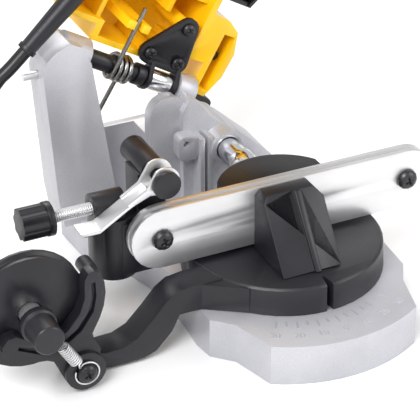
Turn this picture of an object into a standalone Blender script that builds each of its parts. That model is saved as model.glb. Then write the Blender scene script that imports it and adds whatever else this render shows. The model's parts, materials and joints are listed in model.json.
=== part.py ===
"""Bench sharpener for saw chain: a small tilted grinder on a cast base with a swivelling chain vise.

Run with: blender --background --python part.py
Every named size below is in millimetres; the helpers turn millimetres into Blender's metres.
The table top is z = 0, the chain runs along X at zero vise angle, and the operator sits at -Y.
"""
import math

import bmesh
import bpy
from mathutils import Matrix, Vector

MM = 0.001
GAP = 0.3                    # clearance between neighbouring pieces
MERGE = 0.00001              # merge distance of the modifiers, in metres

# Driving dimensions
PLATFORM_TOP = 20.0          # height of the cast platform
SCALE_RADIUS = 72.0          # front arc of the platform, carrying the angle scale
TABLE_RADIUS = 48.0          # swivelling vise table
TABLE_TOP = 34.0
RAIL_SPACING = 127.0         # between the two rail screws
RAIL_CENTRE = 51.0           # height of the chain slot rails' middle
RAIL_HALF = 15.0             # half the rails' height, and their end radius
PIVOT = (-36.5, 85.0, 87.5)  # a point on the head's tilted hinge axis
HEAD_TILT = math.radians(30)
WHEEL_SIDE = 41.4            # wheel plane along the hinge axis
WHEEL_ARM = 108.0            # hinge axis to wheel axis
WHEEL_RAISED = math.radians(100)
WHEEL_RADIUS = 54.0
MOTOR_RADIUS = 33.0
STOP_AXIS = (12.0, 65.2)     # y and z of the chain stop's screw
PAWL_AXIS = (-62.0, 80.0)    # x and z of the pawl's pin
ROLLER_AXIS = (-134.0, 42.0)
ARM_SCREW = (-113.0, 11.0)
CORD_RADIUS = 3.25
FOOTPRINT_CENTRE = (-34.76, 45.54)   # of the sharpener without its cord

WHEEL_B = WHEEL_ARM * math.sin(WHEEL_RAISED)
WHEEL_C = WHEEL_ARM * math.cos(WHEEL_RAISED)

for old in list(bpy.data.objects):
    bpy.data.objects.remove(old, do_unlink=True)

PARTS = bpy.data.collections.new("chain_sharpener")
bpy.context.scene.collection.children.link(PARTS)

PLANES = {
    "XY": Matrix.Identity(3),
    "XZ": Matrix(((1, 0, 0), (0, 0, -1), (0, 1, 0))),
    "YZ": Matrix(((0, 0, 1), (1, 0, 0), (0, 1, 0))),
}


# ---------------------------------------------------------------- helpers
def material(name, colour, roughness, metallic=0.0):
    made = bpy.data.materials.new(name)
    made.use_nodes = True
    shader = made.node_tree.nodes["Principled BSDF"]
    shader.inputs["Base Color"].default_value = (*colour, 1)
    shader.inputs["Roughness"].default_value = roughness
    shader.inputs["Metallic"].default_value = metallic
    return made


def add(name, data, at=(0, 0, 0), turn=None, frame=None):
    """Link an object at a place in millimetres, in its frame empty if it has one."""
    obj = bpy.data.objects.new(name, data)
    PARTS.objects.link(obj)
    matrix = Matrix.Translation(Vector(at) * MM)
    obj.matrix_basis = matrix @ turn.to_4x4() if turn else matrix
    obj.parent = frame
    return obj


def frame_at(name, at, turn=None):
    """An empty on a joint's axis, which carries a moving body's pieces."""
    empty = add(name, None, at, turn)
    bpy.context.view_layer.update()
    return empty


def to_mesh(obj, name):
    """Replace an object's modifiers or curve by the mesh they make, with its caps welded."""
    bpy.context.view_layer.update()
    graph = bpy.context.evaluated_depsgraph_get()
    mesh = bpy.data.meshes.new_from_object(obj.evaluated_get(graph))
    work = bmesh.new()
    work.from_mesh(mesh)
    bmesh.ops.remove_doubles(work, verts=work.verts, dist=MERGE)
    work.to_mesh(mesh)
    work.free()
    made = bpy.data.objects.new(name, mesh)
    PARTS.objects.link(made)
    made.parent = obj.parent
    made.matrix_basis = obj.matrix_basis.copy()
    bpy.data.objects.remove(obj)
    return made


def combine(obj, tools, operation):
    """Join tools to an object, or cut them from it, and drop the tools."""
    name = obj.name
    for tool in tools:
        step = obj.modifiers.new(operation, "BOOLEAN")
        step.operation = operation
        step.object = tool
        step.solver = "EXACT"
    obj.name = name + "_work"
    made = to_mesh(obj, name)
    for tool in tools:
        bpy.data.objects.remove(tool)
    return made


def join(obj, *tools):
    return combine(obj, tools, "UNION")


def cut(obj, *tools):
    return combine(obj, tools, "DIFFERENCE")


def block(name, low, high, frame=None):
    """A box between two corners."""
    mesh = bpy.data.meshes.new(name)
    work = bmesh.new()
    bmesh.ops.create_cube(work, size=1)
    size = [(h - l) * MM for l, h in zip(low, high)]
    bmesh.ops.scale(work, vec=size, verts=work.verts)
    work.to_mesh(mesh)
    work.free()
    return add(name, mesh, [(l + h) / 2 for l, h in zip(low, high)], frame=frame)


def rod(name, start, end, radius, sides=14, tip=None, frame=None):
    """A round bar, or a cone if it has a tip radius, from start to end."""
    start, end = Vector(start), Vector(end)
    mesh = bpy.data.meshes.new(name)
    work = bmesh.new()
    bmesh.ops.create_cone(work, cap_ends=True, segments=sides, radius1=radius * MM,
                          radius2=(radius if tip is None else tip) * MM,
                          depth=(end - start).length * MM)
    work.to_mesh(mesh)
    work.free()
    turn = (end - start).to_track_quat("Z", "Y").to_matrix()
    return add(name, mesh, (start + end) / 2, turn, frame)


def turned(name, profile, at, along, steps=24, closed=False, frame=None):
    """Turn a profile of (radius, height) points about an axis; closed makes a ring."""
    mesh = bpy.data.meshes.new(name)
    count = len(profile)
    edges = [(i, i + 1) for i in range(count - 1)] + ([(count - 1, 0)] if closed else [])
    mesh.from_pydata([(r * MM, 0, z * MM) for r, z in profile], edges, [])
    turn = Vector(along).to_track_quat("Z", "Y").to_matrix()
    obj = add(name + "_work", mesh, at, turn, frame)
    screw = obj.modifiers.new("turn", "SCREW")
    screw.steps = screw.render_steps = steps
    screw.use_merge_vertices = True
    screw.merge_threshold = MERGE
    return to_mesh(obj, name)


def ring(name, outer, inner, low, high, at, along, steps=18, frame=None):
    profile = [(outer, high), (outer, low), (inner, low), (inner, high)]
    return turned(name, profile, at, along, steps, True, frame)


def slab(name, outlines, low, high, plane="XY", frame=None):
    """Extrude flat outlines, the later ones being holes, between two levels of a plane's normal."""
    curve = bpy.data.curves.new(name, "CURVE")
    curve.dimensions = "2D"
    curve.fill_mode = "BOTH"
    curve.extrude = (high - low) / 2 * MM
    for outline in outlines:
        spline = curve.splines.new("POLY")
        spline.points.add(len(outline) - 1)
        for point, (x, y) in zip(spline.points, outline):
            point.co = (x * MM, y * MM, 0, 1)
        spline.use_cyclic_u = True
    middle = (low + high) / 2
    at = {"XY": (0, 0, middle), "XZ": (0, middle, 0), "YZ": (middle, 0, 0)}[plane]
    return to_mesh(add(name + "_work", curve, at, PLANES[plane], frame), name)


def wire(name, points, radius, frame=None, resolution=2):
    """A round wire, cord or spring through points, with closed ends."""
    curve = bpy.data.curves.new(name, "CURVE")
    curve.dimensions = "3D"
    curve.bevel_depth = radius * MM
    curve.bevel_resolution = resolution
    curve.use_fill_caps = True
    spline = curve.splines.new("POLY")
    spline.points.add(len(points) - 1)
    for point, place in zip(spline.points, points):
        point.co = (*(Vector(place) * MM), 1)
    return add(name, curve, frame=frame)


def screw(name, at, along, head, height, shank, reach, frame=None):
    """A round-headed screw: the head rises from its seat along its direction, the shank goes the other way."""
    profile = [(0, height), (head * 0.45, height * 0.97), (head * 0.82, height * 0.7), (head, height * 0.3),
               (head, 0), (shank, 0), (shank, -reach), (0, -reach)]
    return turned(name, profile, at, along, 12, frame=frame)


def arc(x, y, radius, start, end, count):
    """Points on an arc, angles in degrees."""
    steps = [math.radians(start + (end - start) * i / count) for i in range(count + 1)]
    return [(x + radius * math.cos(a), y + radius * math.sin(a)) for a in steps]


def circle(x, y, radius, count=24):
    return arc(x, y, radius, 0, 360, count)[:-1]


def rounded(corners, radius, count=4):
    """A convex outline through corner centres, given anticlockwise, with round corners."""
    outline = []
    total = len(corners)
    for i, (x, y) in enumerate(corners):
        before, after = corners[i - 1], corners[(i + 1) % total]
        start = math.degrees(math.atan2(y - before[1], x - before[0])) - 90
        end = math.degrees(math.atan2(after[1] - y, after[0] - x)) - 90
        outline += arc(x, y, radius, start, start + (end - start) % 360, count)
    return outline


def smooth_path(route, spacing):
    """Points a spacing apart on a smooth curve through a route's points."""
    route = [Vector(p) for p in route]
    ends = [2 * route[0] - route[1]] + route + [2 * route[-1] - route[-2]]
    fine = []
    for p0, p1, p2, p3 in zip(ends, ends[1:], ends[2:], ends[3:]):
        for k in range(24):
            t = k / 24
            fine.append(0.5 * (2 * p1 + (p2 - p0) * t + (2 * p0 - 5 * p1 + 4 * p2 - p3) * t ** 2
                               + (3 * p1 - p0 - 3 * p2 + p3) * t ** 3))
    fine.append(route[-1])
    length = sum((b - a).length for a, b in zip(fine, fine[1:]))
    step = length / round(length / spacing)
    path, walked = [fine[0]], 0.0
    for a, b in zip(fine, fine[1:]):
        walked += (b - a).length
        if walked >= step * len(path) - 1e-6 and len(path) * step < length - step / 2:
            path.append(b)
    return path + [route[-1]]


def finish(obj, finish_material, body=None):
    """Give a piece its finish and its shading, and hang it on its body's empty."""
    obj.data.materials.clear()
    obj.data.materials.append(finish_material)
    if obj.type == "MESH":
        obj.data.shade_smooth()
        obj.data.set_sharp_from_angle(angle=math.radians(30))
    if body and obj.parent is None:
        obj.parent = body
        obj.matrix_parent_inverse = body.matrix_world.inverted()
    return obj


# ---------------------------------------------------------------- finishes
CAST = material("cast_aluminium", (0.72, 0.73, 0.76), 0.45, 0.6)
YELLOW = material("yellow_plastic", (0.95, 0.62, 0.02), 0.4)
BLACK = material("black_plastic", (0.02, 0.02, 0.025), 0.45)
ZINC = material("zinc_plate", (0.75, 0.76, 0.78), 0.3, 1.0)
CHROME = material("chrome", (0.85, 0.85, 0.86), 0.12, 1.0)
DARK_STEEL = material("dark_steel", (0.12, 0.12, 0.13), 0.35, 1.0)
ABRASIVE = material("abrasive", (0.55, 0.2, 0.13), 0.95)
COPPER = material("copper_winding", (0.7, 0.32, 0.15), 0.4, 1.0)
CORD = material("cord_rubber", (0.02, 0.02, 0.02), 0.5)

# ---------------------------------------------------------------- bodies' frames
HINGE_AXIS = Vector((math.cos(HEAD_TILT), 0, -math.sin(HEAD_TILT)))
ARM_AXIS = Vector((math.sin(HEAD_TILT), 0, math.cos(HEAD_TILT)))
HEAD_TURN = Matrix((HINGE_AXIS, ARM_AXIS, HINGE_AXIS.cross(ARM_AXIS))).transposed()

HEAD = frame_at("head_axis", PIVOT, HEAD_TURN)
FIXED = frame_at("hinge_line", PIVOT, HEAD_TURN)
TABLE = frame_at("table_axis", (0, 0, PLATFORM_TOP))
JAW = frame_at("jaw_slide_axis", (0, 20, 47))
CLAMP = frame_at("clamp_slide_axis", (0, 60, RAIL_CENTRE))
CLAMP_KNOB = frame_at("clamp_knob_axis", (0, 110, RAIL_CENTRE))
LOCK = frame_at("lock_knob_axis", (0, 0, 6))
CARRIER = frame_at("stop_carrier_axis", (-62, *STOP_AXIS))
STOP_SCREW = frame_at("stop_screw_axis", (-100, *STOP_AXIS))
PAWL = frame_at("pawl_axis", (PAWL_AXIS[0], 0, PAWL_AXIS[1]))
ROLLER = frame_at("roller_axis", (ROLLER_AXIS[0], -18, ROLLER_AXIS[1]))
HOOK = frame_at("hook_axis", (ARM_SCREW[0], -28, ARM_SCREW[1]))


# ---------------------------------------------------------------- base
def base_casting():
    """The platform with its scale arc, two hinge legs, clamp boss and right-hand web."""
    front = arc(0, 0, SCALE_RADIUS, -121, -59, 12)
    right = [(43, -40), (50, -28), (52, 0), (50, 30), (44, 60), (42, 97)]
    left = [(-74, 97), (-72.5, 71), (-59.5, 51), (-54.5, 33), (-52.5, -2), (-54, -20), (-52.5, -31), (-43.5, -40)]
    body = slab("base_casting", [front + right + left], 0, PLATFORM_TOP)
    leg = slab("leg", [[(-81, 19), (-83.5, 35), (-88, 100), (-86, 109), (-81, 113.2), (-74, 116),
                        (-68, 113), (-64, 104), (-51.5, 19)]], 73, 93, "XZ")
    pillar = slab("pillar", [[(-35.5, 19), (-15, 19)] + arc(-25.2, 67.9, 10, 0, 180, 10)], 72, 78.5, "XZ")
    pillar_foot = block("pillar_foot", (-35.5, 78, 19), (-15, 93.5, 58))
    shoulder = slab("shoulder", [[(-19.5, 19), (42, 19), (27, 38), (9, 54.5), (0, 61), (-6, 66.5), (-10, 72.5),
                                  (-15, 77), (-19.5, 70)]], 68, 93, "XZ")
    ear = rod("ear", (22, 0, 0), (32, 0, 0), 8, 20, frame=FIXED)
    boss = rod("boss", (0, 58, RAIL_CENTRE), (0, 94, RAIL_CENTRE), 8.6, 24)
    lug = slab("lug", [rounded([(-21.5, 50), (-17, 50), (-17, 57), (-21.5, 57)], 3)], 62, 69, "XZ")
    ribs = [block("rib", (x, 60, 19), (x + 2.5, 69, 58)) for x in (-14, -9.5)]
    back = block("back", (-58, 92, 19), (-12, 96.5, 58))
    left_ear = rod("left_ear", (-45, 0, 0), (-31, 0, 0), 8.5, 24, frame=FIXED)
    body = join(body, leg, pillar, pillar_foot, shoulder, ear, boss, lug, *ribs, back, left_ear)
    inner_front = arc(0, 0, SCALE_RADIUS - 6, -119, -61, 8)
    pocket = slab("pocket", [inner_front + [(37, -37), (45, -26), (46.5, 0), (45, 30), (39.5, 58),
                                            (-58, 58), (-49, 33), (-47, -2), (-48, -28), (-37, -37)]], -1, 14)
    return cut(body, pocket,
               rod("hinge_gap", (-30.9, 0, 0), (20, 0, 0), 6.2, 20, frame=FIXED),
               rod("ear_gap", (18.7, 0, 0), (21.8, 0, 0), 9.6, 24, frame=FIXED),
               rod("hinge_bore", (-39, 0, 0), (33, 0, 0), 3 + GAP, 16, frame=FIXED),
               rod("clamp_bore", (0, 50, RAIL_CENTRE), (0, 100, RAIL_CENTRE), 6 + GAP, 24),
               rod("bolt_bore", (0, 0, 10), (0, 0, 24), 4 + GAP, 16),
               rod("lug_hole", (-20.5, 60, 56), (-20.5, 70, 56), 1.6, 12),
               rod("screw_hole", (-90, 83, 99), (-80, 83, 99), 2 + GAP, 12))


def hinge_pieces():
    """The fixed axle, the sleeve that carries the spring, and the spring itself."""
    finish(rod("hinge_axle", (-38.5, 0, 0), (32.5, 0, 0), 3, 16, frame=FIXED), ZINC)
    finish(ring("spring_sleeve", 4.5, 3 + GAP, -30.5, -1.8, (0, 0, 0), (1, 0, 0), 20, FIXED), BLACK)
    finish(ring("hinge_collar", 5.4, 3 + GAP, -1.4, 3.4, (0, 0, 0), (1, 0, 0), 20, FIXED), BLACK)
    finish(rod("cover_screw", (-95, 83, 99), (-80.5, 83, 99), 2, 12), ZINC)
    radius, turns, start, pitch, per_turn = 6.1, 3.25, -15.5, 2.9, 8
    coil = []
    for i in range(round(turns * per_turn) + 1):
        angle = math.pi / 2 + 2 * math.pi * i / per_turn
        coil.append((start + pitch * i / per_turn, radius * math.cos(angle), radius * math.sin(angle)))
    end = coil[-1]
    spring = [(start, 33, radius), (start, 6, radius)] + coil + [(end[0], end[1] - 1, -4), (end[0], -27, -5.4)]
    finish(wire("return_spring", spring, 1.1, FIXED), DARK_STEEL)


def clamp_pieces():
    """The plunger whose nose pushes the moving jaw, and the knob that drives it."""
    y = (0, 1, 0)
    centre = (0, 0, RAIL_CENTRE)
    plunger = [(0, 104), (6, 104), (6, 45), (6.8, 44.4), (6.8, 39), (4.2, 33), (2.6, 31.5), (0, 31.5)]
    finish(turned("clamp_plunger", plunger, centre, y, 28), CHROME, CLAMP)
    lobes = [((11 + 2 * math.cos(5 * a)) * math.cos(a), RAIL_CENTRE + (11 + 2 * math.cos(5 * a)) * math.sin(a))
             for a in [2 * math.pi * i / 40 for i in range(40)]]
    knob = slab("clamp_knob", [lobes], 104.5, 118, "XZ")
    finish(knob, BLACK, CLAMP_KNOB)


# ---------------------------------------------------------------- vise
def turntable():
    """The round table with its side arm and the lug that carries the roller axle."""
    disc = turned("turntable", [(0, TABLE_TOP), (TABLE_RADIUS - 1.6, TABLE_TOP), (TABLE_RADIUS - 0.6, TABLE_TOP - 1),
                                (TABLE_RADIUS, PLATFORM_TOP + GAP), (0, PLATFORM_TOP + GAP)],
                  (0, 0, 0), (0, 0, 1), 48)
    top = [(-40, 33.8), (-56, 33.8), (-64, 32.8), (-69.5, 29), (-76, 21.5), (-84, 13.4), (-91, 10.4), (-100, 10.2),
           (-108, 13.5), (-113, 15.6)]
    bottom = [(-118, 11), (-117, 5), (-113, 2.6), (-90, 2), (-81, 2.1), (-75, 4.2), (-67, 12.5), (-63, 20.4), (-40, 20.4)]
    arm = slab("arm", [top + bottom], -22, -8, "XZ")
    root = slab("root", [[(-34, -34), (-52, -22), (-52, -8), (-44, 12)]], 20.3, 33.2)
    lug = slab("lug", [rounded([(-116, 7), (-108, 9), (-129.6, 45), (-138.4, 42.6)], 4)], -12.5, -8, "XZ")
    disc = join(disc, root, arm, lug)
    notch = slab("notch", [[(-2, -50), (2, -50), (0.6, -40), (-0.6, -40)]], 19, 35)
    return finish(cut(disc, notch,
                      rod("bolt_hole", (0, 0, 19), (0, 0, 35), 4 + GAP, 16),
                      rod("bolt_seat", (0, 0, 28), (0, 0, 35), 7 + GAP, 20),
                      rod("axle_hole", (ROLLER_AXIS[0], -14, ROLLER_AXIS[1]), (ROLLER_AXIS[0], -6, ROLLER_AXIS[1]),
                          3 + GAP, 16),
                      rod("screw_hole", (ARM_SCREW[0], -23, ARM_SCREW[1]), (ARM_SCREW[0], -9.5, ARM_SCREW[1]),
                          2.5 + GAP, 12)), BLACK, TABLE)


def vise_pieces():
    """Fixed jaw, moving jaw, the two slotted rails and their screws."""
    low = TABLE_TOP + GAP
    jaw = slab("fixed_jaw", [[(-5.3, low), (-5.3, 65.5), (-13, 65.5), (-35.5, low)]], -17.5, 12.5, "YZ")
    rib = slab("rib", [[(-12, 64.5), (-14, 65.5), (-36.7, low), (-34.5, low)]], -1.6, 1.6, "YZ")
    jaw = cut(join(jaw, rib),
              slab("chamfer_right", [[(8, 66), (13, 66), (13, 60)]], -40, 0, "XZ"),
              slab("chamfer_left", [[(-18, 66), (-14.5, 66), (-18, 62)]], -40, 0, "XZ"))
    finish(jaw, BLACK, TABLE)
    half = RAIL_SPACING / 2
    stadium = arc(half, RAIL_CENTRE, RAIL_HALF, -90, 90, 12) + arc(-half, RAIL_CENTRE, RAIL_HALF, 90, 270, 12)
    holes = [circle(side * half, RAIL_CENTRE, 2.8, 14) for side in (-1, 1)]
    bosses = [rod("boss", (side * half, -3, RAIL_CENTRE), (side * half, -1.2, RAIL_CENTRE), 9) for side in (-1, 1)]
    bores = [rod("bore", (side * half, -6, RAIL_CENTRE), (side * half, 0, RAIL_CENTRE), 2.8, 14) for side in (-1, 1)]
    finish(cut(join(slab("front_rail", [stadium], -5, -2.5, "XZ"), *bosses), *bores), ZINC, TABLE)
    finish(slab("rear_rail", [stadium, *holes], -0.3, 2.2, "XZ"), ZINC, JAW)
    back_arc = arc(0, 0, 31, 33, 147, 16)
    finish(slab("moving_jaw", [[(26, 2.5)] + back_arc + [(-26, 2.5)]], low + 0.4, 60), BLACK, JAW)
    for name, side, reach in (("rail_screw_left", -1, 12), ("rail_screw_right", 1, 9)):
        x = side * half
        finish(screw(name, (x, -5.3, RAIL_CENTRE), (0, -1, 0), 5, 3.3, 2.4, reach + 5.3), DARK_STEEL, TABLE)
    nut = rod("rail_nut", (half, 3.4, RAIL_CENTRE), (half, 7.4, RAIL_CENTRE), 4.6, 6)
    finish(cut(nut, rod("nut_hole", (half, 2, RAIL_CENTRE), (half, 9, RAIL_CENTRE), 2.4 + GAP, 14)), DARK_STEEL, TABLE)


def table_lock():
    """The bolt that holds the table down, its washer and the lock knob inside the hollow base."""
    bolt = join(rod("table_bolt", (0, 0, 28.3), (0, 0, 32.5), 7, 20), rod("shank", (0, 0, 2.5), (0, 0, 29), 4, 16))
    finish(bolt, ZINC, TABLE)
    finish(ring("table_washer", 9, 4 + GAP, 12.4, 13.7, (0, 0, 0), (0, 0, 1)), ZINC, TABLE)
    outline = [((17 + 1.5 * math.cos(6 * a)) * math.cos(a), (17 + 1.5 * math.cos(6 * a)) * math.sin(a))
               for a in [2 * math.pi * i / 36 for i in range(36)]]
    finish(slab("lock_knob", [outline, circle(0, 0, 4 + GAP, 16)], 2, 12, "XY"), BLACK, LOCK)


# ---------------------------------------------------------------- chain stop
def chain_stop():
    """The post with its threaded socket, the sliding carrier, the screw with its knob, and the pawl."""
    y, z = STOP_AXIS
    post = rod("stop_post", (-79.5, 15, 29), (-79.5, 15, 60), 11.4, 28)
    foot = block("foot", (-79.5, 3.4, 31), (-57, 16, 57.5))
    socket = rod("socket", (-91, y, z), (-76, y, z), 6.8, 20)
    neck = block("neck", (-86, 6, 55), (-76.5, 18, 62))
    post = join(post, foot, socket, neck)
    half = RAIL_SPACING / 2
    finish(cut(post, rod("thread", (-92, y, z), (-75, y, z), 3 + GAP, 16),
               rod("rail_hole", (-half, 2, RAIL_CENTRE), (-half, 14, RAIL_CENTRE), 2.4 + GAP, 14),
               rod("peg_hole", (-97, 9, 54.5), (-85.7, 9, 54.5), 1.7 + GAP, 12)), BLACK, TABLE)
    finish(rod("stop_peg", (-96, 9, 54.5), (-86, 9, 54.5), 1.7, 12), BLACK, TABLE)
    px, pz = PAWL_AXIS
    tube = rod("stop_carrier", (px, 7, pz), (px, 31, pz), 6.2, 24)
    web = block("web", (-69.5, 8, 61), (-56, 22, 79))
    finish(cut(join(tube, web), rod("pin_hole", (px, 5, pz), (px, 24, pz), 2.8 + GAP, 16),
               rod("screw_end", (-72, y, z), (-63.5, y, z), 3 + GAP, 16)), BLACK, CARRIER)
    finish(rod("stop_screw", (-114, y, z), (-64, y, z), 3, 16), ZINC, STOP_SCREW)
    flutes = [(7.2 + 0.6 * math.cos(8 * a), a) for a in [2 * math.pi * i / 40 for i in range(40)]]
    grip = slab("stop_knob", [[(y + r * math.cos(a), z + r * math.sin(a)) for r, a in flutes]], -125, -112.5, "YZ")
    flange = rod("flange", (-113, y, z), (-110, y, z), 8, 24)
    finish(cut(join(grip, flange), rod("knob_bore", (-114.5, y, z), (-109, y, z), 3 + GAP, 16)), BLACK, STOP_SCREW)
    pin = join(rod("pawl_pin", (px, -5.6, pz), (px, 23, pz), 2.8, 16), rod("cap", (px, -8.6, pz), (px, -5.4, pz), 6.5, 24))
    finish(pin, BLACK, CARRIER)
    ear = [(px + 7.5 * math.cos(a), pz + 7.5 * math.sin(a)) for a in
           [math.radians(-62 + 184 * i / 12) for i in range(13)]]
    ear = ear + [(-71, 78), (-80, 72.4), (-79, 70.9), (-69, 75)]
    holes = [circle(px, pz, 2.8 + GAP, 14)]
    front = slab("ear_front", [ear, *holes], -5, -3.8, "XZ")
    rear = slab("ear_rear", [ear, *holes], 3.7, 4.9, "XZ")
    strip = [(-69.5, 77.6), (-78.6, 72), (-93, 63.4), (-102.5, 63.6), (-102.5, 62), (-93.4, 61.8), (-79.4, 70.4), (-68.6, 76.2)]
    finish(join(slab("pawl", [strip], -5, 4.9, "XZ"), front, rear), ZINC, PAWL)


# ---------------------------------------------------------------- chain roller on the arm
def chain_roller():
    """The roller disc with its axle and cap, the hooked guard, its screw and its spring."""
    x, z = ROLLER_AXIS
    rim = [(27.2, 4), (27.2, 2.4), (25.4, 1.5), (25.4, -1.5), (27.2, -2.4), (27.2, -4), (5.6, -4), (5.6, 4)]
    finish(turned("roller", rim, (x, -18, z), (0, 1, 0), 32, True), BLACK, ROLLER)
    axle = join(rod("roller_axle", (x, -44, z), (x, -13, z), 5.2, 20), rod("tail", (x, -13.5, z), (x, -8.2, z), 3, 16))
    finish(axle, ZINC, TABLE)
    cap = turned("axle_cap", [(0, 46), (6.2, 46), (7, 45.2), (7.2, 34), (8.3, 33.4), (8.3, 30), (5.5, 30), (5.5, 44.5), (0, 44.5)],
                 (x, 0, z), (0, -1, 0), 20)
    finish(cap, BLACK, TABLE)
    sx, sz = ARM_SCREW
    outline = ([(-104.8, 19.5), (-107.6, 24.5), (-108.4, 28.5), (-104.7, 35.8), (-102.6, 41.6), (-101.6, 48.2),
                (-102, 53.8), (-103.7, 58.2), (-106.5, 60.2), (-109.2, 59.4), (-111, 56.4), (-111.4, 47),
                (-113.9, 40), (-119.6, 33), (-126, 29.8), (-133, 30.4), (-139, 34), (-143.4, 36.8), (-147.2, 36.2),
                (-149.9, 32.8), (-149.4, 28.4), (-145, 24.4), (-138, 21.4), (-130, 20.4), (-126.8, 18.8)]
               + arc(sx, sz, 9.6, 209, 396, 12))
    guard = slab("guard_hook", [outline], -29.5, -23, "XZ")
    boss = rod("boss", (sx, -32, sz), (sx, -23.1, sz), 9.5, 28)
    peg = rod("peg", (-104.7, -24, 54), (-104.7, -11.5, 54), 3.7, 18)
    guard = cut(join(guard, boss, peg), rod("screw_hole", (sx, -40, sz), (sx, -20, sz), 2.5 + GAP, 14),
                slab("channel", [[(-106.2, 54.6), (-108.2, 54.4), (-108, 47), (-110.2, 40.2), (-115.4, 32.8),
                                  (-122, 28.4), (-130, 26.4), (-142.6, 31.4), (-143, 29.6), (-132, 24),
                                  (-121, 25.8), (-113.4, 31), (-107.4, 39.6), (-105.9, 47.4)]], -31, -27, "XZ"))
    finish(guard, BLACK, HOOK)
    finish(screw("guard_screw", (sx, -32.6, sz), (0, -1, 0), 4.8, 3.4, 2.5, 22.6), DARK_STEEL, TABLE)
    eye = [(sx + 5.7 * math.cos(a), -33.3, sz + 5.7 * math.sin(a))
           for a in [math.radians(160 + 320 * i / 12) for i in range(13)]]
    start, end = Vector((-118.2, -35, 19.4)), Vector((-124.4, -35, 29.4))
    along = (end - start).normalized()
    side = Vector((0, -1, 0))
    across = along.cross(side)
    coil, turns, per_turn = [], 6, 8
    for i in range(turns * per_turn + 1):
        angle = 2 * math.pi * i / per_turn
        coil.append(start.lerp(end, i / (turns * per_turn)) + 2.5 * (math.cos(angle) * side + math.sin(angle) * across))
    finish(wire("guard_spring", eye + [(-117, -36, 17)] + coil, 0.6, resolution=1), ZINC, TABLE)


# ---------------------------------------------------------------- grinding head, in the hinge's frame
def housing():
    """The yellow housing: a ribbed tray near the hinge and a barrel round the motor."""
    b, c = WHEEL_B, WHEEL_C
    outline = [(-50, 16.4), (-31.2, 16.2), (-30.8, 8.2), (20.8, 8), (21.2, 15.8), (33.3, 16), (33.6, 0.2), (42, 0), (46.5, 12), (47, 25),
               (43, 36), (36, 40), (26.2, 41), (26, 79.2), (-45.5, 79), (-46.2, 66.4), (-50, 66)]
    tray = slab("head_housing", [outline], -36, -1, frame=HEAD)
    barrel = rod("barrel", (-45.9, b, c), (25.8, b, c), MOTOR_RADIUS, 40, frame=HEAD)
    neck = rod("neck", (-12, b + 26, c), (-12, b + 38, c), 12, 24, frame=HEAD)
    gland = block("gland", (-56, 34.8, -6), (-43, 46, 10.6), HEAD)
    seat = block("switch_seat", (-23, b - 11, c - 39), (-1, b + 11, c - 25), frame=HEAD)
    tray = join(tray, barrel, neck, gland, seat)
    cutters = [block("pocket", (-47, 19, -33), (23, 69.5, 5), HEAD), block("pocket", (-28, 11, -32.8), (18, 20, 6), HEAD),
               block("pocket", (36.5, 3, -33), (43, 33, 5), HEAD),
               rod("cavity", (-50, b, c), (11, b, c), MOTOR_RADIUS - 3, 40, frame=HEAD),
               rod("bearing_seat", (10, b, c), (20.3, b, c), 11 + GAP, 24, frame=HEAD),
               rod("shaft_hole", (19, b, c), (28, b, c), 5.5, 20, frame=HEAD),
               block("switch_recess", (-20.5, b - 8.5, c - 41), (-3.5, b + 8.5, c - 34.2), HEAD)]
    tray = cut(tray, *cutters)
    posts = [rod("post", (x, y, -34.5), (x, y, -1.6), 3.6, 14, frame=HEAD) for x, y in BRACKET_SCREWS]
    ribs = [block("rib", (-22, 22, -34.1), (-9.5, 26, 9), HEAD), block("rib", (-48, 43, -34.7), (24, 45.5, -6.4), HEAD),
            block("rib", (3, 33, -34.3), (5.5, 70.8, -6), HEAD), block("rib", (-31.2, 18.1, -34.5), (-28.8, 71.2, -5.6), HEAD)]
    tray = join(tray, *posts, *ribs)
    slot = block("spring_slot", (-17.6, 21, 3.4), (-13.4, 27, 10), HEAD)
    holes = [rod("hole", (x, y, -12), (x, y, 0), 1.5 + GAP, 12, frame=HEAD) for x, y in BRACKET_SCREWS]
    relief = rod("relief_seat", (-51.4, 29.3, 4.6), (-47.6, 41.5, 4.6), 3.8 + GAP, 20, frame=HEAD)
    stop = rod("depth_hole", (39.8, 20, -40), (39.8, 20, -30), 2.5 + GAP, 14, frame=HEAD)
    return finish(cut(tray, slot, *holes, relief, stop), YELLOW)


BRACKET_SCREWS = [(0.8, 12.4), (17.6, 12.0), (14.6, 29.5)]


def hinge_bracket():
    """The black triangular plate under the head, with two ears on the hinge axle."""
    plate = slab("hinge_bracket", [rounded([BRACKET_SCREWS[0], BRACKET_SCREWS[1], BRACKET_SCREWS[2]], 5.6, 5)],
                 -0.7, 1.7, frame=HEAD)
    ears = []
    for low in (4.0, 19.2):
        outline = arc(0, 0, 6.2, 75, 285, 12) + [(7.4, -0.6), (9, -0.6), (9, 1.6)]
        ears.append(slab("ear", [outline], low, low + 2.2, "YZ", HEAD))
    plate = join(plate, *ears)
    holes = [rod("hole", (x, y, -2), (x, y, 3), 1.5 + GAP, 12, frame=HEAD) for x, y in BRACKET_SCREWS]
    finish(cut(plate, rod("bore", (3, 0, 0), (23, 0, 0), 3 + GAP, 16, frame=HEAD), *holes), BLACK)
    finish(ring("hinge_bush", 5.3, 3 + GAP, 6.5, 18.9, (0, 0, 0), (1, 0, 0), 24, HEAD), CHROME)
    for i, (x, y) in enumerate(BRACKET_SCREWS, 1):
        finish(screw(f"bracket_screw_{i}", (x, y, 2.0), (0, 0, 1), 3.4, 2.2, 1.5, 12.5, HEAD), DARK_STEEL)


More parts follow.
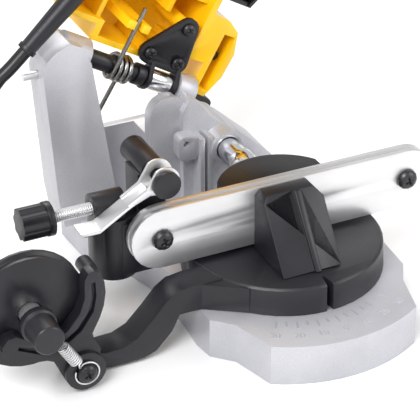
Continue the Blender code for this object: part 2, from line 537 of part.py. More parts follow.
def motor():
    """Field, armature on its shaft, bearings, brushes and the end cover."""
    b, c = WHEEL_B, WHEEL_C
    at, along = (0, b, c), (1, 0, 0)
    finish(ring("motor_field", 28, 19.2, -33, 6, at, along, 36, HEAD), DARK_STEEL)
    shaft = [(0, 53.5), (4, 53.5), (4, 2), (18, 2), (18, -28), (8, -28), (8, -37), (3, -37), (3, -44), (0, -44)]
    spin = turned("armature", shaft, at, along, 20, frame=HEAD)
    spin.parent = None
    spin.matrix_basis = HEAD.matrix_world @ spin.matrix_basis
    finish(spin, COPPER, WHEEL)
    finish(ring("front_bearing", 11, 4 + GAP, 12, 20, at, along, 24, HEAD), ZINC)
    finish(ring("rear_bearing", 8, 3 + GAP, -44, -39.5, at, along, 20, HEAD), ZINC)
    brushes = [block("brush", (-36, b + s * 13.4 - 4.6, c - 3), (-33.6, b + s * 13.4 + 4.6, c + 3), HEAD) for s in (-1, 1)]
    carrier = ring("brush_carrier", 27, 12, -38, -35.5, at, along, 32, HEAD)
    finish(join(carrier, *brushes), DARK_STEEL)
    cover = turned("motor_cover", [(0, -51), (30, -51), (MOTOR_RADIUS, -48.5), (MOTOR_RADIUS, -46.3), (29.6, -46.3),
                                   (29.6, -42), (27, -42), (27, -46.3), (12, -46.3), (12, -40.5), (8 + GAP, -40.5),
                                   (8 + GAP, -44.4), (0, -44.4)][::-1], at, along, 28, frame=HEAD)
    finish(cover, YELLOW)


def wheel():
    """Flanges, abrasive wheel and nut on the armature's shaft."""
    b, c = WHEEL_B, WHEEL_C
    at = HEAD.matrix_world @ (Vector((0, b, c)) * MM) / MM
    inner = [(14, 39.5), (14, 33), (4 + GAP, 33), (4 + GAP, 42.3), (11.2, 42.3), (11.2, 39.5)]
    finish(turned("inner_flange", inner, at, HINGE_AXIS, 20, True), ZINC, WHEEL)
    side = WHEEL_SIDE
    finish(ring("grinding_wheel", WHEEL_RADIUS, 11.5, side - 1.6, side + 1.6, at, HINGE_AXIS, 36), ABRASIVE, WHEEL)
    finish(ring("outer_flange", 14, 4 + GAP, side + 1.9, side + 4.9, at, HINGE_AXIS, 20), ZINC, WHEEL)
    low, high = at + HINGE_AXIS * (side + 5.2), at + HINGE_AXIS * (side + 10)
    nut = rod("wheel_nut", low, high, 7, 6)
    finish(cut(nut, rod("bore", low - HINGE_AXIS * 2, high + HINGE_AXIS * 2, 4 + GAP, 16)), ZINC, WHEEL)


def guard():
    """The wheel guard, open towards the chain, with its side cover and screws."""
    b, c = WHEEL_B, WHEEL_C
    outer, inner, first, last = 59.5, 57.2, 176, 412
    shape = arc(b, c, outer, first, last, 24)
    back = slab("wheel_guard", [shape, circle(b, c, 12, 20)], 26.3, 28.5, "YZ", HEAD)
    band = slab("band", [arc(b, c, outer, first, last, 24) + arc(b, c, inner, last, first, 24)], 28, 50, "YZ", HEAD)
    spots = [(b + 50 * math.cos(math.radians(a)), c + 50 * math.sin(math.radians(a))) for a in (215, 365)]
    tabs = [rod("tab", (44.2, y, z), (50, y, z), 9, 20, frame=HEAD) for y, z in spots]
    holes = [rod("hole", (40, y, z), (54, y, z), 1.6 + GAP, 12, frame=HEAD) for y, z in spots]
    finish(cut(join(back, band, *tabs), *holes), BLACK)
    drilled = [circle(y, z, 1.6 + GAP, 12) for y, z in spots]
    finish(slab("guard_cover", [shape, circle(b, c, 18, 24), *drilled], 50.3, 52.3, "YZ", HEAD), BLACK)
    for i, angle in enumerate((215, 365), 1):
        y, z = b + 50 * math.cos(math.radians(angle)), c + 50 * math.sin(math.radians(angle))
        finish(screw(f"guard_screw_{i}", (52.6, y, z), (1, 0, 0), 3.4, 2.2, 1.6, 8, HEAD), DARK_STEEL)


def controls():
    """Handle grip, rocker switch, depth screw, and the cord's strain relief."""
    b, c = WHEEL_B, WHEEL_C
    grip = [(0, 84), (7, 83.5), (11.5, 80), (13, 74), (12.4, 60), (13, 46), (12.6, 39), (11.4, 38.3), (0, 38.3)]
    finish(turned("handle_grip", grip, (-12, b, c), (0, 1, 0), 20, frame=HEAD), BLACK)
    rocker = slab("switch_rocker", [[(b - 7.8, c - 35.8), (b + 7.8, c - 35.8), (b + 7.8, c - 39.5), (b, c - 40.5),
                                     (b - 7.8, c - 42.5)][::-1]], -19.8, -4.2, "YZ", HEAD)
    finish(rocker, BLACK)
    knob = join(rod("depth_screw", (39.8, 20, -58), (39.8, 20, -46), 8, 12, frame=HEAD),
                rod("shank", (39.8, 20, -47), (39.8, 20, -6), 2.5, 14, frame=HEAD))
    finish(knob, BLACK)
    start, end = Vector((-50.5, 32.2, 4.6)), Vector((-62.5, -6, 4.6))
    relief = join(rod("strain_relief", start, end, 5.2, 20, 3.9, HEAD),
                  rod("collar", start.lerp(end, 0.94), end, 4.6, 20, frame=HEAD),
                  rod("stub", start - (end - start).normalized() * 8, start.lerp(end, 0.05), 3.8, 20, frame=HEAD))
    finish(relief, BLACK)
    return end, (end - start).normalized()


# ---------------------------------------------------------------- power cord
COIL_CENTRE = (-215.0, 26.0)
COIL_INNER, COIL_OUTER, COIL_HEIGHT = 25.6, 52.0, 13.4


def power_cord(exit_local, direction):
    """The cord from the strain relief down to the table, its stored coil, its tail and its plug."""
    exit_point = HEAD.matrix_world @ ((exit_local + direction * GAP) * MM) / MM
    heading = (HEAD.matrix_world.to_3x3() @ direction).normalized()
    floor = CORD_RADIUS + 0.1
    x, y = COIL_CENTRE
    turn_radius = COIL_OUTER - CORD_RADIUS
    meet = math.sqrt(COIL_OUTER ** 2 - (turn_radius - CORD_RADIUS) ** 2) + GAP
    route = [exit_point, exit_point + heading * 10, exit_point + heading * 22, (-116.5, 82, 78), (-123, 84, 55),
             (-128, 84, 32), (-134, 81.5, 13), (-144, 78, 5), (-158, y + turn_radius + 0.7, floor),
             (x + meet, y + turn_radius, floor)]
    finish(wire("power_cord", smooth_path(route, 7), CORD_RADIUS), CORD)
    finish(ring("cord_coil", COIL_OUTER, COIL_INNER, 0.1, COIL_HEIGHT, (x, y, 0), (0, 0, 1), 32), CORD)
    tail_x = x - turn_radius
    tail = [(tail_x, y - meet, floor), (tail_x - 0.6, y - meet - 12, floor), (tail_x - 1, y - meet - 24, floor),
            (tail_x - 1, y - meet - 32, floor)]
    finish(wire("cord_tail", smooth_path(tail, 7), CORD_RADIUS), CORD)
    px, py = tail_x - 1, y - meet - 32
    neck = rod("mains_plug", (px, py - GAP - 0.1, 6.8), (px, py - 16, 6.8), 5, 16, 6.4)
    body = block("body", (px - 9, py - 44, 0.1), (px + 9, py - 15, 13.6))
    pins = [rod("pin", (px + s * 5, py - 62, 6.8), (px + s * 5, py - 43, 6.8), 2.2, 14) for s in (-1, 1)]
    finish(join(neck, body, *pins), BLACK)


def centre_on_origin():
    """Move everything so that the sharpener, without its cord, stands centred on the origin."""
    for obj in PARTS.objects:
        if obj.parent is None:
            obj.location -= Vector((*FOOTPRINT_CENTRE, 0)) * MM


WHEEL = frame_at("wheel_axis", HEAD.matrix_world @ (Vector((WHEEL_SIDE, WHEEL_B, WHEEL_C)) * MM) / MM, HEAD_TURN)
WHEEL.parent = HEAD
WHEEL.matrix_parent_inverse = HEAD.matrix_world.inverted()
bpy.context.view_layer.update()

finish(base_casting(), CAST)
hinge_pieces()
clamp_pieces()
turntable()
vise_pieces()
table_lock()
chain_stop()
chain_roller()
housing()
hinge_bracket()
motor()
wheel()
guard()
power_cord(*controls())
centre_on_origin()
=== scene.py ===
# %% [markdown]
# # A bench sharpener for saw chain
# The object is a small grinder: a yellow motor head tilts down over a vise that holds a saw
# chain, on a cast base with an angle scale. The mechanical model is loaded first, and this file
# gives it its fine surfaces, its finishes, its cord and a soft studio around it.

# %% Load the mechanical model
import json
import math

import bmesh
import bpy
from mathutils import Matrix, Vector


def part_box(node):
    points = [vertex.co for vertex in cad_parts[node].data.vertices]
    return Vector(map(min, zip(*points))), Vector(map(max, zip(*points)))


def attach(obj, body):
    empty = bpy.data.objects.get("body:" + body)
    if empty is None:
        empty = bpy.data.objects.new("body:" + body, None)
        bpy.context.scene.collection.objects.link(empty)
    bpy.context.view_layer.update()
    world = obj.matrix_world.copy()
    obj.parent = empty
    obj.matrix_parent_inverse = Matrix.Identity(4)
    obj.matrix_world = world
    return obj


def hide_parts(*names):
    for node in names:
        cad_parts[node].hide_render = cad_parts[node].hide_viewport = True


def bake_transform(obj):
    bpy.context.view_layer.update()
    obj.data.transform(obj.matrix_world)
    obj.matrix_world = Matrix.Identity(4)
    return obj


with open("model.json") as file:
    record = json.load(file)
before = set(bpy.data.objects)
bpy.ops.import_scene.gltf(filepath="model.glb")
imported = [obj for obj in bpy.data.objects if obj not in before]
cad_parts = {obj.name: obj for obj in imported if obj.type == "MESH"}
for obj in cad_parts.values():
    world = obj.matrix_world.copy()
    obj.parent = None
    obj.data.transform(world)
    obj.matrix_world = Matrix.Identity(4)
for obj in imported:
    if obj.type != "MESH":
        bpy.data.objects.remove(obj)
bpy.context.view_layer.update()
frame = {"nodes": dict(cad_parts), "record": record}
MM = 0.001
RECORD = frame["record"]
BODY_OF = {node: body for body, nodes in RECORD["behaviour"]["bodies"].items() for node in nodes}
SLOT_OF = {part["node"]: part["material_slot"] for part in RECORD["subparts"]}
CENTRE = Vector((-34.76, 45.54, 0.0))      # the footprint's middle, measured from the swivel axis in mm


def place(x, y, z):
    """A point measured in millimetres from the vise's swivel axis, in the model's metres."""
    return (Vector((x, y, z)) - CENTRE) * MM


HINGE_PIVOT = Vector((-36.5, 85, 87.5))     # a point on the head's hinge axis, from the swivel axis in mm
HEAD_TURN = Matrix.Rotation(math.radians(30), 3, "Y")


def hinge_point(a, b, c):
    """A point along, above and in front of the tilted hinge axis, in the model's millimetres."""
    return HINGE_PIVOT - CENTRE + HEAD_TURN @ Vector((a, -c, b))


# %% [markdown]
# ## The camera
# A long lens from the front left and above flattens the perspective and shows the vise,
# the chain stop and the tilting head at once. The coil of the cord lies outside its view.

# %% Camera
CAMERA_AZIMUTH, CAMERA_ELEVATION, CAMERA_DISTANCE = -25.5, 31.0, 850.0
camera_data = bpy.data.cameras.new("camera")
camera_data.lens = 160
camera_data.sensor_width = 36
camera_data.clip_start = 0.05
camera = bpy.data.objects.new("camera", camera_data)
bpy.context.scene.collection.objects.link(camera)
azimuth, elevation = math.radians(CAMERA_AZIMUTH), math.radians(CAMERA_ELEVATION)
away = Vector((math.sin(azimuth) * math.cos(elevation), -math.cos(azimuth) * math.cos(elevation),
               math.sin(elevation)))
camera.location = place(-37.5, 0, 57) + away * CAMERA_DISTANCE * MM
camera.rotation_euler = (-away).to_track_quat("-Z", "Y").to_euler()
bpy.context.scene.camera = camera
print("camera at", [round(v, 3) for v in camera.location])

# %% [markdown]
# ## Shader arithmetic
# A procedural finish is mostly small sums: a noise, scaled and added to a colour or a roughness.
# Wrapping a socket in a class with + and * keeps those sums readable, and one method makes every
# node, so that each finish below is a few lines.


# %% A small language for shader nodes
class Socket:
    """An output of a shader node that can be added, multiplied and mixed."""

    def __init__(self, tree, socket):
        self.tree, self.socket = tree, socket

    def node(self, kind, inputs=(), output=0, **settings):
        """A node of this kind, with its settings made first and its sockets filled or linked after."""
        made = self.tree.nodes.new(kind)
        for name, value in settings.items():
            setattr(made, name, value)
        for key, value in dict(inputs).items():
            if isinstance(value, Socket):
                self.tree.links.new(value.socket, made.inputs[key])
            else:
                made.inputs[key].default_value = value
        return Socket(self.tree, made.outputs[output])

    def maths(self, operation, other=0.0, third=0.0):
        return self.node("ShaderNodeMath", {0: self, 1: other, 2: third}, operation=operation)

    def __add__(self, other):
        return self.maths("ADD", other)

    def __radd__(self, other):
        return self.maths("ADD", other)

    def __sub__(self, other):
        return self.maths("SUBTRACT", other)

    def __rsub__(self, other):
        return (self * -1.0).maths("ADD", other)

    def __mul__(self, other):
        return self.maths("MULTIPLY", other)

    def __rmul__(self, other):
        return self.maths("MULTIPLY", other)

    def between(self, low, high):
        """1 above high, 0 below low, smooth in between."""
        return self.node("ShaderNodeMapRange", {0: self, 1: low, 2: high, 3: 0.0, 4: 1.0},
                         interpolation_type="SMOOTHSTEP")

    def colours(self, first, second):
        """Mix two colours by this value."""
        return self.node("ShaderNodeMix", {0: self, 6: (*first, 1), 7: (*second, 1)}, 2, data_type="RGBA")


print("sockets can be added, subtracted, multiplied and mixed")

# %% Making and feeding a material
def new_finish(name, metallic=0.0, coat=0.0):
    """A material with its Principled shader and its object coordinates."""
    made = bpy.data.materials.new(name)
    made.use_nodes = True
    shader = made.node_tree.nodes["Principled BSDF"]
    shader.inputs["Metallic"].default_value = metallic
    shader.inputs["Coat Weight"].default_value = coat
    place_node = made.node_tree.nodes.new("ShaderNodeTexCoord")
    return made, shader, Socket(made.node_tree, place_node.outputs["Object"])


def noise(at, scale, detail=3.0, stretch=(1, 1, 1)):
    """Noise of this many features a metre, stretched along an axis."""
    where = at.node("ShaderNodeMapping", {0: at, 3: stretch})
    return at.node("ShaderNodeTexNoise", {"Vector": where, "Scale": scale, "Detail": detail})


def bump(shader, height, strength, distance):
    """Feed a height to the shader's normal."""
    normal = height.node("ShaderNodeBump", {"Strength": strength, "Distance": distance, "Height": height})
    normal.tree.links.new(normal.socket, shader.inputs["Normal"])


def feed(shader, **values):
    """Link sockets to the shader's inputs, named with underscores."""
    for name, value in values.items():
        value.tree.links.new(value.socket, shader.inputs[name.replace("_", " ")])


print("helpers: a new finish, noise, a bump and feeding the shader")

# %% [markdown]
# ## The finishes
# The base is cast aluminium: a satin metal with a very fine grain and cloudy wear. The head is
# glossy yellow plastic with a faint orange-peel surface. Black plastic is never quite black: it
# has a soft grey sheen that varies a little. The rails and the pawl are zinc plated, with a fine
# brushing along their length. The abrasive wheel is grit held in a binder.

# %% Finishes
FINISH = {}


CLOUDS_PER_METRE = 28.0


def plain_finish(name, dark, light, rough, metallic, grain, height, coat=0.0, stretch=(1, 1, 1), speckle=0.0):
    """A finish with cloudy colour, uneven gloss and a fine grain, for one material slot."""
    made, shader, at = new_finish(name, metallic, coat)
    cloud = noise(at, CLOUDS_PER_METRE, 4.0).between(0.3, 0.7)
    fine = noise(at, grain, 5.0, stretch)
    tone = cloud * (1 - speckle) + fine.between(0.38, 0.62) * speckle
    feed(shader, Base_Color=tone.colours(dark, light), Roughness=fine * 0.16 + cloud * 0.05 + (rough - 0.1))
    bump(shader, fine, 0.35, height)
    FINISH[name] = made


plain_finish("cast", (0.47, 0.475, 0.51), (0.62, 0.62, 0.655), 0.44, 0.55, 2300.0, 0.00018, speckle=0.45)
plain_finish("scale", (0.55, 0.56, 0.60), (0.66, 0.67, 0.70), 0.36, 0.6, 1200.0, 0.00006)
plain_finish("yellow", (0.95, 0.53, 0.004), (1.0, 0.61, 0.008), 0.34, 0.0, 420.0, 0.00005, coat=0.25)
plain_finish("black", (0.006, 0.006, 0.009), (0.013, 0.013, 0.018), 0.40, 0.0, 650.0, 0.00006)
plain_finish("zinc", (0.74, 0.74, 0.75), (0.80, 0.80, 0.81), 0.38, 0.9, 260.0, 0.00001, stretch=(0.06, 1, 1))
plain_finish("chrome", (0.78, 0.79, 0.80), (0.84, 0.85, 0.86), 0.15, 1.0, 300.0, 0.00001)
plain_finish("dark_steel", (0.035, 0.035, 0.04), (0.07, 0.07, 0.075), 0.36, 0.9, 700.0, 0.00003)
plain_finish("spring_steel", (0.20, 0.20, 0.20), (0.34, 0.33, 0.32), 0.26, 1.0, 500.0, 0.00002)
plain_finish("copper", (0.45, 0.16, 0.06), (0.66, 0.28, 0.12), 0.38, 1.0, 320.0, 0.0002, stretch=(0.1, 1, 1))
plain_finish("cord", (0.008, 0.008, 0.009), (0.014, 0.014, 0.016), 0.34, 0.0, 500.0, 0.00003)


def abrasive_finish():
    """Grains of two sizes in a red-brown binder."""
    made, shader, at = new_finish("abrasive")
    grains = at.node("ShaderNodeTexVoronoi", {"Vector": at, "Scale": 1400.0})
    speck = noise(at, 900.0, 2.0).between(0.5, 0.62)
    feed(shader, Base_Color=speck.colours((0.42, 0.13, 0.08), (0.66, 0.30, 0.22)),
         Roughness=grains * 0.3 + 0.7)
    bump(shader, grains, 0.8, 0.0004)
    FINISH["abrasive"] = made


abrasive_finish()
print("finishes:", ", ".join(sorted(FINISH)))

# %% [markdown]
# ## The cord
# The flex leaves the strain relief at the head's left side, drops to the table and lies in a
# neat coil out of the picture, with its plug beside it. Its centreline is one smooth path: the
# drop, a flat spiral inwards, a second one outwards on top of it, and the tail to the plug.
# A tube is swept along it with rings of points, which also gives each ring its own direction.

# %% The cord's path
CORD_RADIUS = 3.25
WINDINGS, WIND_OUT, WIND_IN = 3, 48.75, 29.2
coil_low, coil_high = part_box("cord_coil")
coil_x, coil_y = (coil_low.x + coil_high.x) / 2 / MM, (coil_low.y + coil_high.y) / 2 / MM
tail_low, tail_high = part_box("cord_tail")
FLOOR_Z = CORD_RADIUS + 0.15
UPPER_Z = FLOOR_Z + 2 * CORD_RADIUS + 0.2


def smooth_path(route, spacing):
    """Points this far apart, in the route's units, on a smooth curve through the route."""
    ends = [2 * route[0] - route[1]] + route + [2 * route[-1] - route[-2]]
    fine = []
    for p0, p1, p2, p3 in zip(ends, ends[1:], ends[2:], ends[3:]):
        for k in range(24):
            t = k / 24
            fine.append(0.5 * (2 * p1 + (p2 - p0) * t + (2 * p0 - 5 * p1 + 4 * p2 - p3) * t ** 2
                               + (3 * p1 - p0 - 3 * p2 + p3) * t ** 3))
    fine.append(route[-1])
    path, since = [fine[0]], 0.0
    for a, b in zip(fine, fine[1:]):
        since += (b - a).length
        if since >= spacing:
            path.append(b)
            since = 0.0
    return path if (path[-1] - route[-1]).length < spacing / 3 else path + [route[-1]]


def winding(turns_before, level, inward):
    """One flat layer of the coil, counter-clockwise from above, as points in millimetres."""
    points, steps = [], WINDINGS * 24
    for i in range(steps + 1):
        share = i / steps if inward else 1 - i / steps
        radius = WIND_OUT + (WIND_IN - WIND_OUT) * share
        angle = math.pi / 2 + turns_before * 2 * math.pi + i * math.pi / 12
        points.append(Vector((coil_x + radius * math.cos(angle), coil_y + radius * math.sin(angle), level)))
    return points


def cord_route():
    """The whole centreline in millimetres of the model's frame."""
    heading = Vector((-12.0, 0, -38.2)).normalized()
    start = hinge_point(-62.5, -6, 4.6) + HEAD_TURN @ heading * 0.3
    along = HEAD_TURN @ heading
    drop = [start, start + along * 10, start + along * 22]
    drop += [Vector(p) - CENTRE for p in ((-116.5, 82, 78), (-123, 84, 55), (-128, 84, 32), (-134, 81.5, 13),
                                          (-144, 78, 5))]
    drop += [Vector((coil_x + 57, coil_y + WIND_OUT + 0.7, FLOOR_Z)),
             Vector((coil_x + 20, coil_y + WIND_OUT, FLOOR_Z))]
    lower = winding(0, FLOOR_Z, True)
    turn = lower[-1]
    rise = []
    for i in range(1, 6):
        angle = math.pi / 2 + i * math.pi / 12
        rise.append(Vector((coil_x + WIND_IN * math.cos(angle), coil_y + WIND_IN * math.sin(angle),
                            FLOOR_Z + (UPPER_Z - FLOOR_Z) * i / 6)))
    upper = winding(0.25, UPPER_Z, False)
    tail_end = Vector(((tail_low.x + tail_high.x) / 2 / MM, tail_low.y / MM, FLOOR_Z))
    tail = [Vector((coil_x - WIND_OUT, coil_y - 14, UPPER_Z)),
            Vector((coil_x - WIND_OUT, coil_y - 28, UPPER_Z - 0.6)),
            Vector((coil_x - WIND_OUT - 0.4, coil_y - 44, FLOOR_Z + 1.2)),
            Vector((tail_end.x, tail_end.y + 10, FLOOR_Z)), tail_end]
    return drop + lower + rise + upper + tail


path = smooth_path(cord_route(), 4.0)
length = sum((b - a).length for a, b in zip(path, path[1:]))
print("cord:", len(path), "points,", round(length), "mm")

# %% [markdown]
# ## A swept tube
# A curve with a round bevel would make a plain cord, but not a thread, and its rings can twist.
# So each ring of points is laid square to the path, turned as little as possible from the last,
# and a thread is a ripple in the ring's radius that goes round once in each pitch.

# %% Sweep a tube along a path
def sweep(name, points, radius, sides=12, finish="cord", pitch=0.0, depth=0.0):
    """A closed tube through points in millimetres, with a thread cut in it where a pitch is given."""
    work = bmesh.new()
    tangents = [(b - a).normalized() for a, b in zip([points[0]] + points[:-1], points[1:] + [points[-1]])]
    side = tangents[0].orthogonal().normalized()
    rings, travelled = [], 0.0
    for i, (point, tangent) in enumerate(zip(points, tangents)):
        travelled += (point - points[max(i - 1, 0)]).length
        side = (side - tangent * side.dot(tangent)).normalized()
        other = tangent.cross(side)
        turn = 2 * math.pi * travelled / pitch if pitch else 0.0
        rings.append([work.verts.new((point + (side * math.cos(a) + other * math.sin(a))
                                      * (radius - depth * (0.5 - 0.5 * math.cos(turn - a)))) * MM)
                      for a in [2 * math.pi * k / sides for k in range(sides)]])
    for first, second in zip(rings, rings[1:]):
        for k in range(sides):
            work.faces.new((first[k], first[(k + 1) % sides], second[(k + 1) % sides], second[k]))
    work.faces.new(rings[0][::-1])
    work.faces.new(rings[-1])
    mesh = bpy.data.meshes.new(name)
    work.to_mesh(mesh)
    work.free()
    mesh.shade_smooth()
    mesh.set_sharp_from_angle(angle=math.radians(50))
    mesh.materials.append(FINISH[finish])
    made = bpy.data.objects.new(name, mesh)
    bpy.context.scene.collection.objects.link(made)
    return made


cord = sweep("power_cord_whole", path, CORD_RADIUS)
tuple(path[2] * MM)
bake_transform(cord)
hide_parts("power_cord", "cord_coil", "cord_tail")
print("cord made:", len(cord.data.polygons), "faces")

# %% [markdown]
# ## Springs and the threaded screw
# The head's return spring is wound round the hinge sleeve. Its lower leg rests on the base and
# its upper leg presses on the head. The small spring of the chain guide goes from the screw's
# head to the guide. The stop screw has a thread of 1 mm pitch.

# %% Springs and thread
def coil_points(start, end, radius, turns, facing, per_turn=24):
    """A helix from start to end, beginning towards the facing direction, in millimetres."""
    along = (end - start).normalized()
    side = (facing - along * facing.dot(along)).normalized()
    other = along.cross(side)
    steps = round(turns * per_turn)
    return [start.lerp(end, i / steps) + (side * math.cos(a) + other * math.sin(a)) * radius
            for i, a in [(i, 2 * math.pi * i / per_turn) for i in range(steps + 1)]]


SPRING_RADIUS, SPRING_START, SPRING_PITCH, SPRING_TURNS, SPRING_WIRE = 6.1, -15.5, 2.9, 3.25, 1.1
STEPS_PER_TURN = 28
helix = []
for i in range(round(SPRING_TURNS * STEPS_PER_TURN) + 1):
    angle = math.pi / 2 + 2 * math.pi * i / STEPS_PER_TURN
    helix.append(hinge_point(SPRING_START + SPRING_PITCH * i / STEPS_PER_TURN,
                             SPRING_RADIUS * math.cos(angle), SPRING_RADIUS * math.sin(angle)))
last = SPRING_START + SPRING_PITCH * SPRING_TURNS
upper_leg = [hinge_point(SPRING_START, b, SPRING_RADIUS)
             for b in (33, 28, 24, 20, 17, 14.5, 12, 10, 8, 6, 4, 2)]
lower_leg = [hinge_point(last, b, -4 - 1.4 * (-b) / 27) for b in (-6, -12, -20, -27)]
spring = sweep("return_spring_wound", upper_leg + helix + lower_leg, SPRING_WIRE, 10, "spring_steel")
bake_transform(spring)
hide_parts("return_spring")

GUIDE_SCREW_X, GUIDE_SCREW_Z, EYE_RADIUS, GUIDE_WIRE = -113.0, 11.0, 5.6, 0.42
eye_centre = Vector((GUIDE_SCREW_X, -33.3, GUIDE_SCREW_Z)) - CENTRE
eye = [eye_centre + Vector((EYE_RADIUS * math.cos(a), 0, EYE_RADIUS * math.sin(a)))
       for a in [math.radians(160 + 12 * i) for i in range(27)]]
coil_start, coil_end = Vector((-118.4, -35, 19.6)) - CENTRE, Vector((-124.8, -35, 30.0)) - CENTRE
guide_spring = sweep("guard_spring_wound", eye + [Vector((-117.4, -35.6, 16.4)) - CENTRE]
                     + coil_points(coil_start, coil_end, 2.5, 10, Vector((0, -1, 0))), GUIDE_WIRE, 8, "zinc")
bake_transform(guide_spring)
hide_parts("guard_spring")

SCREW_LEFT, SCREW_Y, SCREW_Z, RING_STEP, RINGS = -114.0, 12.0, 65.2, 0.2, 251
screw_line = [Vector((SCREW_LEFT + RING_STEP * i, SCREW_Y, SCREW_Z)) - CENTRE for i in range(RINGS)]
thread = sweep("stop_screw_threaded", screw_line, 3.0, 20, "zinc", pitch=1.0, depth=0.42)
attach(thread, "stop_screw")
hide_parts("stop_screw")
print("return spring, guide spring and stop screw made")

# %% [markdown]
# ## From mechanical solids to finished pieces
# Most pieces already have their true shape. What they lack is what moulding, casting and
# machining leave: a small radius on every edge, which catches the light. Each solid is copied,
# its flat faces are cleaned of the triangles that files store them as, and a Bevel rounds the
# edges sharper than the facets of a round piece.

# %% Round the edges of every piece
EDGE = {"base_casting": 1.1, "turntable": 0.9, "fixed_jaw": 0.6, "moving_jaw": 0.6, "head_housing": 0.5,
        "front_rail": 0.35, "rear_rail": 0.35, "guard_hook": 0.6, "mains_plug": 0.9, "stop_post": 0.6,
        "stop_carrier": 0.6, "handle_grip": 0.3, "wheel_guard": 0.4, "guard_cover": 0.4, "motor_cover": 0.4}
SPECIAL = {"power_cord", "cord_coil", "cord_tail", "return_spring", "guard_spring", "stop_screw"}
SHARP = math.radians(32)
RECESS = {"rail_screw_left": 2.9, "rail_screw_right": 2.9, "guard_screw": 2.7, "bracket_screw_1": 2.0,
          "bracket_screw_2": 2.0, "bracket_screw_3": 2.0}


def cross_recess(made, name, reach):
    """Cut a tapering cross into the head of a screw that faces the operator."""
    low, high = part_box(name)
    middle_x, middle_z, half = (low.x + high.x) / 2, (low.z + high.z) / 2, reach * 0.24
    plus = [(reach, -half), (reach, half), (half, half), (half, reach), (-half, reach), (-half, half),
            (-reach, half), (-reach, -half), (-half, -half), (-half, -reach), (half, -reach), (half, -half)]
    turn = math.radians(18)
    work = bmesh.new()
    rows = []
    for y, scale in ((low.y - 0.6 * MM, 1.0), (low.y + reach * 0.55 * MM, 0.42)):
        rows.append([work.verts.new((middle_x + (u * math.cos(turn) - v * math.sin(turn)) * scale * MM, y,
                                     middle_z + (u * math.sin(turn) + v * math.cos(turn)) * scale * MM))
                     for u, v in plus])
    work.faces.new(rows[0])
    work.faces.new(rows[1][::-1])
    for k in range(12):
        work.faces.new((rows[0][k], rows[1][k], rows[1][(k + 1) % 12], rows[0][(k + 1) % 12]))
    bmesh.ops.recalc_face_normals(work, faces=work.faces)
    mesh = bpy.data.meshes.new("recess")
    work.to_mesh(mesh)
    work.free()
    mesh.materials.append(FINISH[SLOT_OF[name]])
    tool = bpy.data.objects.new("recess", mesh)
    bpy.context.scene.collection.objects.link(tool)
    cutting = made.modifiers.new("recess", "BOOLEAN")
    cutting.operation, cutting.solver, cutting.object = "DIFFERENCE", "EXACT", tool
    return tool


def finish_node(name):
    """A finished copy of one mechanical solid, which takes its place and moves with its body."""
    source = frame["nodes"][name]
    work = bmesh.new()
    work.from_mesh(source.data)
    bmesh.ops.remove_doubles(work, verts=work.verts, dist=0.000002)
    bmesh.ops.dissolve_limit(work, angle_limit=math.radians(0.6), verts=work.verts, edges=work.edges)
    mesh = bpy.data.meshes.new(name + "_finished")
    work.to_mesh(mesh)
    work.free()
    mesh.materials.clear()
    mesh.materials.append(FINISH[SLOT_OF[name]])
    made = bpy.data.objects.new(name + "_finished", mesh)
    bpy.context.scene.collection.objects.link(made)
    size = made.dimensions
    width = min(EDGE.get(name, 0.25) * MM, min(size) * 0.12)
    rounding = made.modifiers.new("edge", "BEVEL")
    rounding.width = width
    rounding.segments = 2
    rounding.limit_method = "ANGLE"
    rounding.angle_limit = SHARP
    tool = cross_recess(made, name, RECESS[name]) if name in RECESS else None
    bpy.context.view_layer.update()
    graph = bpy.context.evaluated_depsgraph_get()
    rounded = bpy.data.meshes.new_from_object(made.evaluated_get(graph))
    made.modifiers.clear()
    if tool:
        bpy.data.objects.remove(tool, do_unlink=True)
    made.data = rounded
    rounded.shade_smooth()
    rounded.set_sharp_from_angle(angle=SHARP)
    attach(made, BODY_OF[name])
    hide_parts(name)
    return made


shown = {name: finish_node(name) for name in BODY_OF if name not in SPECIAL}
print("finished", len(shown), "pieces,", sum(len(o.data.polygons) for o in shown.values()), "faces")

# %% [markdown]
# ## The cord's facts
# With the plug finished, the cord's first point, where it leaves the head, and all its points are
# taken in metres, and its length is printed with the plug that is on its far end.

# %% The cord's points and length
tuple(path[0] * MM)
[tuple(p * MM) for p in path]
print("cord described:", round(length), "mm with", shown["mains_plug"].name)

# %% [markdown]
# ## The angle scale
# The vise turns 30 degrees to each side of zero, and a mark every 5 degrees stands on the front of
# the casting. The marks are one bar repeated along an arc by Geometry Nodes. Those at the tens
# are longer and carry their number.

# %% The marks
PLATFORM_TOP = 20.0


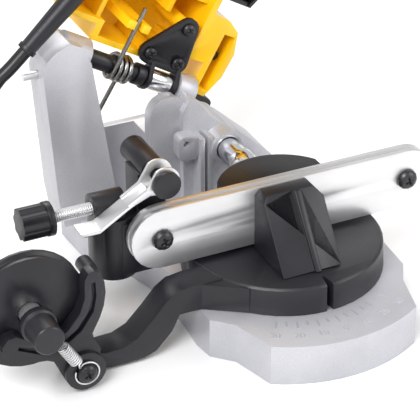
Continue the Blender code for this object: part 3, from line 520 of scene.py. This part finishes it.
def scale_marks(name, values, finish):
    """Bars on an arc in front of the swivel axis, longer at the tens, as one plain mesh."""
    tree = bpy.data.node_groups.new("scale_marks", "GeometryNodeTree")
    tree.interface.new_socket(name="Marks", in_out="OUTPUT", socket_type="NodeSocketGeometry")
    sockets = {}
    for label, value in values.items():
        kind = "NodeSocketInt" if isinstance(value, int) else "NodeSocketFloat"
        sockets[label] = tree.interface.new_socket(name=label, in_out="INPUT", socket_type=kind)
    given = tree.nodes.new("NodeGroupInput")

    def put(label):
        return Socket(tree, given.outputs[label])

    first = put("Count")
    index = first.node("GeometryNodeInputIndex")
    angle = (index - (put("Count") - 1) * 0.5) * put("Step") - math.pi / 2
    longer = index.maths("MODULO", 2.0) * -0.4 + 1.4
    reach = longer * put("Length") * 0.5 + put("Radius")
    where = first.node("ShaderNodeCombineXYZ",
                       {0: angle.maths("COSINE") * reach, 1: angle.maths("SINE") * reach})
    points = first.node("GeometryNodePoints", {"Count": first, "Position": where})
    bar = first.node("GeometryNodeMeshCube", {"Size": (1, 1, 1)})
    turned = first.node("ShaderNodeCombineXYZ", {2: angle})
    size = first.node("ShaderNodeCombineXYZ", {0: longer * put("Length"), 1: put("Width"), 2: put("Height")})
    copies = points.node("GeometryNodeInstanceOnPoints",
                         {"Points": points, "Instance": bar, "Rotation": turned, "Scale": size})
    real = copies.node("GeometryNodeRealizeInstances", {0: copies})
    coloured = real.node("GeometryNodeSetMaterial", {"Geometry": real, "Material": finish})
    tree.links.new(coloured.socket, tree.nodes.new("NodeGroupOutput").inputs[0])
    made = bpy.data.objects.new(name, bpy.data.meshes.new(name))
    bpy.context.scene.collection.objects.link(made)
    repeat = made.modifiers.new("marks", "NODES")
    repeat.node_group = tree
    for label, value in values.items():
        repeat[sockets[label].identifier] = value
    bpy.context.view_layer.update()
    mesh = bpy.data.meshes.new_from_object(made.evaluated_get(bpy.context.evaluated_depsgraph_get()))
    mesh.transform(Matrix.Translation(place(0, 0, PLATFORM_TOP)))
    made.modifiers.clear()
    made.data = mesh
    return made


MARK_SIZES = {"Count": 13, "Step": math.radians(5), "Radius": 52.5 * MM, "Length": 3.6 * MM,
              "Width": 0.75 * MM, "Height": 0.3 * MM}
marks = scale_marks("scale_marks", MARK_SIZES, FINISH["scale"])
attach(marks, "base")
print("scale marks:", len(marks.data.polygons), "faces")

# %% The numbers at the tens
NUMBER_RADIUS, NUMBER_SIZE, NUMBER_RISE = 63.5, 5.2, 0.1
for value in range(-30, 31, 10):
    letters = bpy.data.curves.new("number", "FONT")
    letters.body = str(abs(value))
    letters.align_x, letters.align_y = "CENTER", "CENTER"
    letters.size, letters.extrude = NUMBER_SIZE * MM, NUMBER_RISE * MM
    flat = bpy.data.objects.new("number", letters)
    bpy.context.scene.collection.objects.link(flat)
    bpy.context.view_layer.update()
    mesh = bpy.data.meshes.new_from_object(flat.evaluated_get(bpy.context.evaluated_depsgraph_get()))
    bpy.data.objects.remove(flat, do_unlink=True)
    mesh.materials.clear()
    mesh.materials.append(FINISH["scale"])
    angle = math.radians(value)
    at = place(NUMBER_RADIUS * math.sin(angle), -NUMBER_RADIUS * math.cos(angle),
               PLATFORM_TOP + NUMBER_RISE / 2)
    mesh.transform(Matrix.Translation(at) @ Matrix.Rotation(angle, 4, "Z"))
    number = bpy.data.objects.new(f"scale_number_{value + 30}", mesh)
    bpy.context.scene.collection.objects.link(number)
    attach(number, "base")
print("numbers from -30 to 30 degrees, every 10")

# %% [markdown]
# ## Lights and floor
# A pale floor and large soft lights, a key from the upper left, a fill from the right and one
# from behind, show the black plastic by its reflections instead of by its colour.

# %% Studio
def soft_light(name, at, aim, size, power):
    data = bpy.data.lights.new(name, "AREA")
    data.shape = "DISK"
    data.size = size
    data.energy = power
    made = bpy.data.objects.new(name, data)
    made.location = at
    made.rotation_euler = (Vector(aim) - Vector(at)).to_track_quat("-Z", "Y").to_euler()
    bpy.context.scene.collection.objects.link(made)


floor_mesh = bpy.data.meshes.new("floor")
work = bmesh.new()
bmesh.ops.create_grid(work, x_segments=1, y_segments=1, size=4)
work.to_mesh(floor_mesh)
work.free()
floor = bpy.data.objects.new("floor", floor_mesh)
floor.location.z = -0.2 * MM                # just under the casting's rim
bpy.context.scene.collection.objects.link(floor)
floor_finish, floor_shader, floor_at = new_finish("studio_floor")
floor_shader.inputs["Base Color"].default_value = (0.9, 0.9, 0.9, 1)
floor_shader.inputs["Roughness"].default_value = 0.6
floor_mesh.materials.append(floor_finish)
soft_light("key", (-0.9, -0.8, 1.3), (0, 0, 0.05), 0.9, 24)
soft_light("fill", (1.1, -0.9, 0.8), (0, 0, 0.05), 1.0, 9)
soft_light("back", (0.2, 1.3, 1.2), (0, 0, 0.1), 1.0, 14)
world = bpy.data.worlds.new("studio")
world.use_nodes = True
world.node_tree.nodes["Background"].inputs[0].default_value = (1, 1, 1, 1)
world.node_tree.nodes["Background"].inputs[1].default_value = 0.62
bpy.context.scene.world = world
bpy.context.scene.view_settings.view_transform = "Standard"
